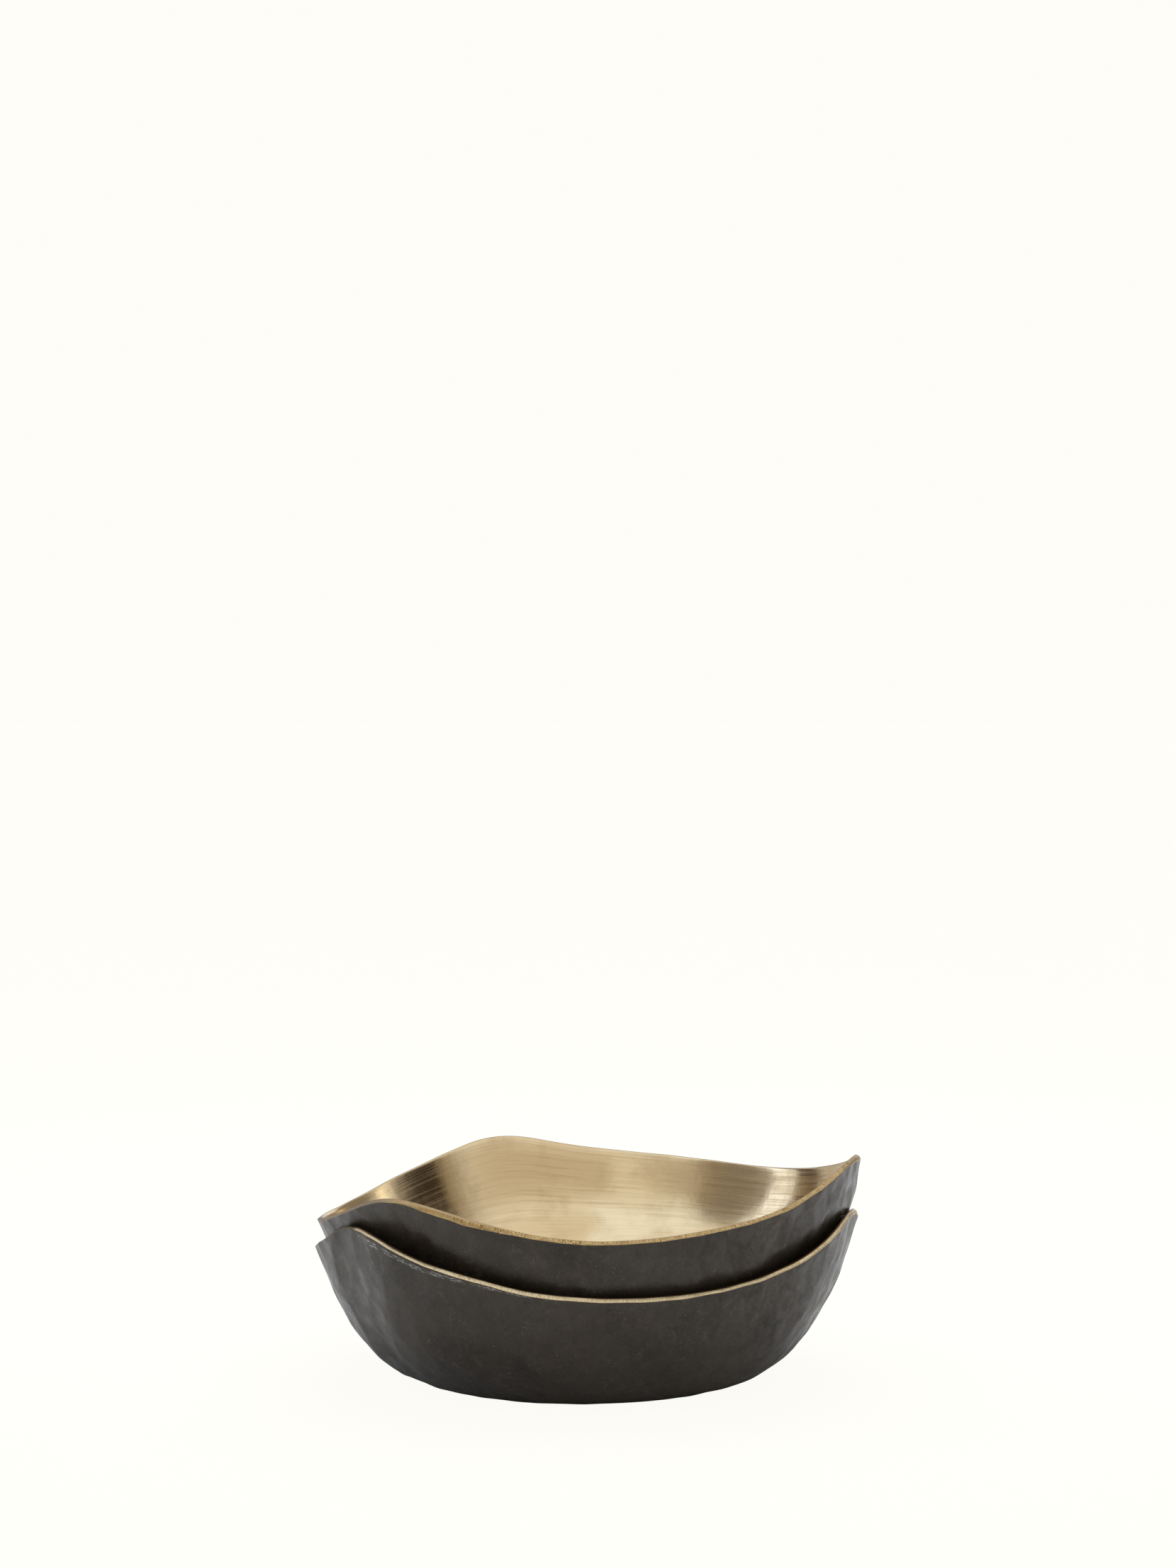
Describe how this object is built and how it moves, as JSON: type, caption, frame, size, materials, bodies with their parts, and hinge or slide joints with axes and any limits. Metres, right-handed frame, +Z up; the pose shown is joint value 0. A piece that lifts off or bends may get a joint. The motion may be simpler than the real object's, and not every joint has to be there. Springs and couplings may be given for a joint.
{
  "type": "nesting bowls",
  "caption": "Nesting forged bronze bowls with three raised rim corners, dark hammered outside and polished golden inside; one rests in the other.",
  "frame": {"origin": "centre of the lower bowl's flat base, on the surface it stands on", "axes": "+Z up, out of the bowls' mouths; +Y towards the back raised corner; +X towards the right raised corner"},
  "size_m": [0.1469, 0.1474, 0.0612],
  "materials": {
    "lower_bronze": "forged bronze: dark hammered fire scale outside, bright filed rim, polished golden inside",
    "upper_bronze": "forged bronze: dark hammered fire scale outside, bright filed rim, turned and polished golden inside"
  },
  "bodies": {
    "lower": {"lower_bowl": "lower_bronze"},
    "upper": {"upper_bowl": "upper_bronze"}
  },
  "joints": [
    {"name": "upper_bowl_lift", "type": "slide", "parent": "lower", "child": "upper", "axis": [0, 0, 1], "range_m": [0, 0.08]}
  ]
}
